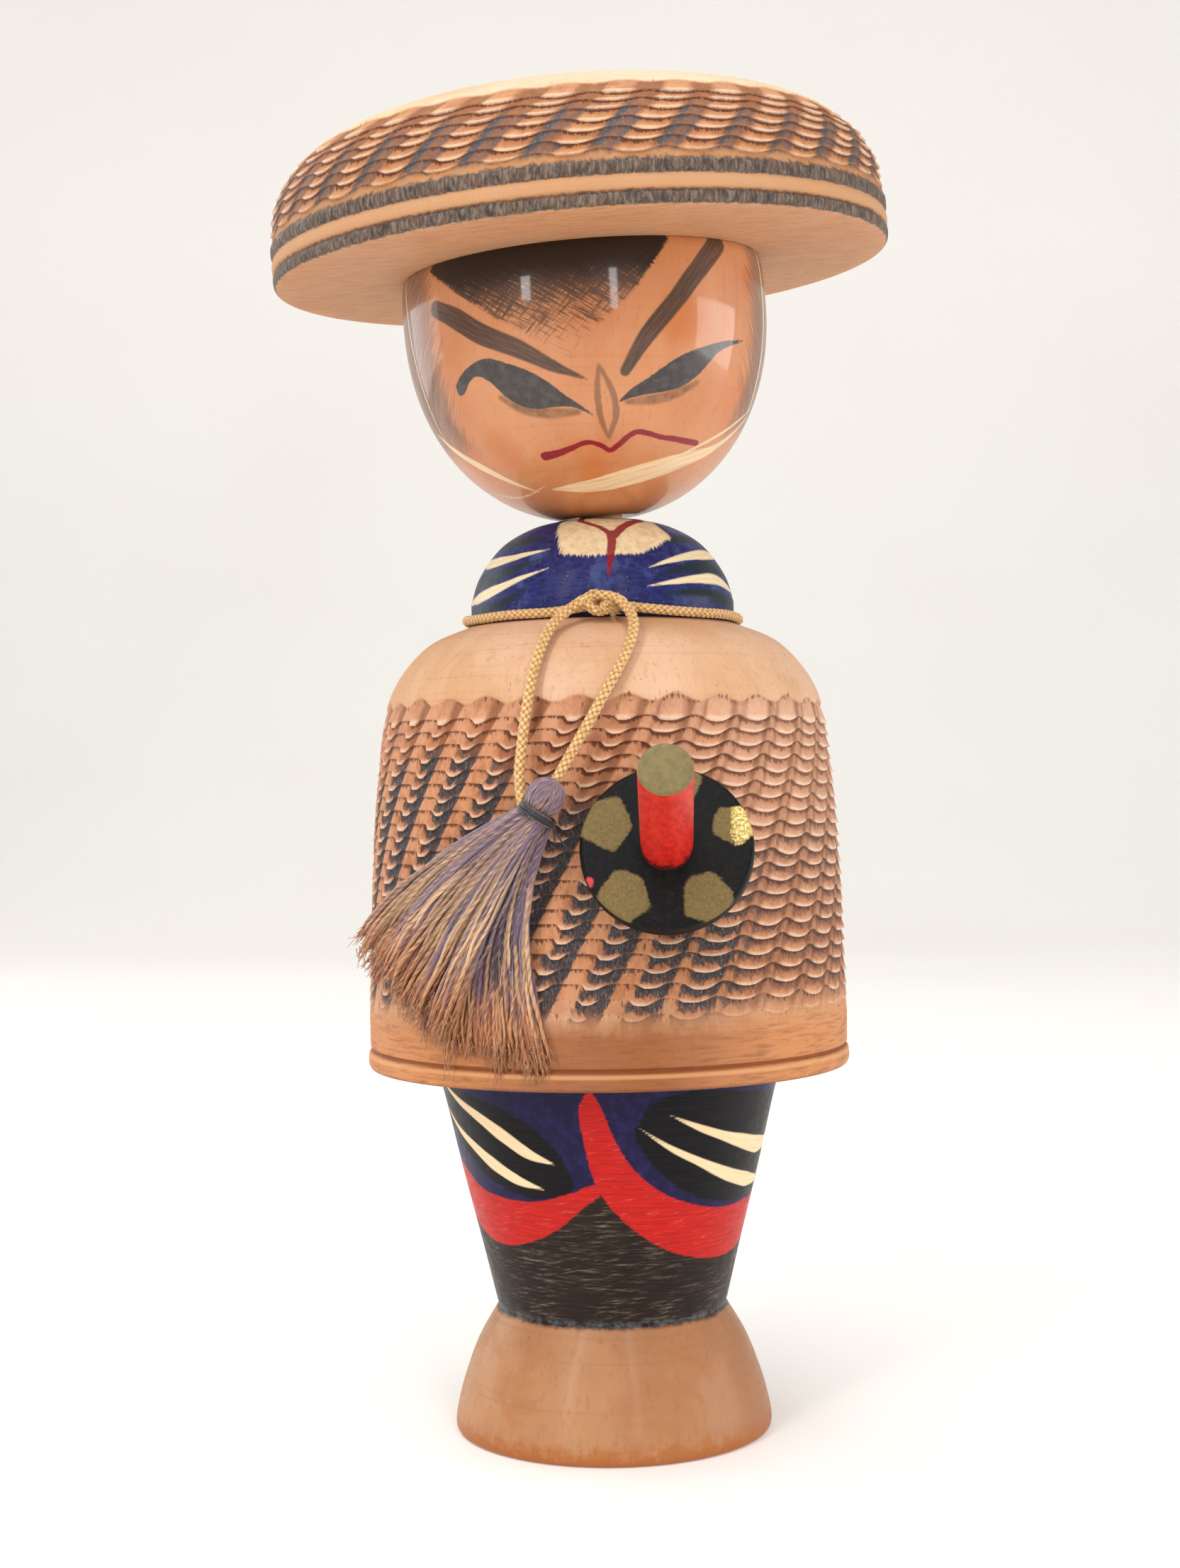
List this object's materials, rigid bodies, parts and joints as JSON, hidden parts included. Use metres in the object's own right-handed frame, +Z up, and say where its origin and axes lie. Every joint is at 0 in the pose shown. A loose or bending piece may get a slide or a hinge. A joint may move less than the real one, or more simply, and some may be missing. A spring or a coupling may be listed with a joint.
{
  "type": "carved wooden figurine",
  "caption": "Turned and carved wooden doll in a round sedge hat and a cape, with a painted face, a sword hilt at its front and a corded tassel round its neck.",
  "frame": {"origin": "middle of the foot's flat underside, on the surface the doll stands on", "axes": "+Z up along the turned axis of the legs, cape and shoulders; the face and the sword look along -Y; +X is the doll's own left"},
  "size_m": [0.0853, 0.1035, 0.184],
  "materials": {
    "painted_legs": "satin brushed paint and clear varnish on turned wood, bare foot",
    "carved_cape": "bare carved wood with rubbed dark stain",
    "painted_shoulders": "satin brushed paint on turned wood",
    "peg_wood": "bare dowel",
    "painted_head": "glossy clear varnish over brushed paint",
    "carved_hat": "bare carved wood with rubbed dark stain",
    "red_grip": "satin red paint, matte gold end",
    "black_guard": "satin black paint with matte gold patches",
    "gold_cord": "fine braided silky cord",
    "tassel_thread": "silky loose thread, tan and dull purple",
    "binding_thread": "matte black thread"
  },
  "bodies": {
    "body": {"legs": "painted_legs", "cape": "carved_cape", "shoulders": "painted_shoulders", "neck_peg": "peg_wood", "sword_guard": "black_guard", "sword_grip": "red_grip", "neck_cord": "gold_cord", "neck_knot": "gold_cord"},
    "head": {"head": "painted_head", "hat": "carved_hat"},
    "tassel": {"tassel_cord_left": "gold_cord", "tassel_cord_right": "gold_cord", "tassel_head": "tassel_thread", "tassel_binding": "binding_thread", "tassel_skirt": "tassel_thread"}
  },
  "joints": [
    {"name": "head_turn", "type": "hinge", "parent": "body", "child": "head", "pos_m": [0, 0, 0.1256], "axis": [-0.0662, -0.0418, 0.9969], "continuous": true},
    {"name": "tassel_swing", "type": "hinge", "parent": "body", "child": "tassel", "pos_m": [-0.0003, -0.02, 0.1126], "axis": [-1, 0, 0], "range_deg": [0, 60]}
  ]
}
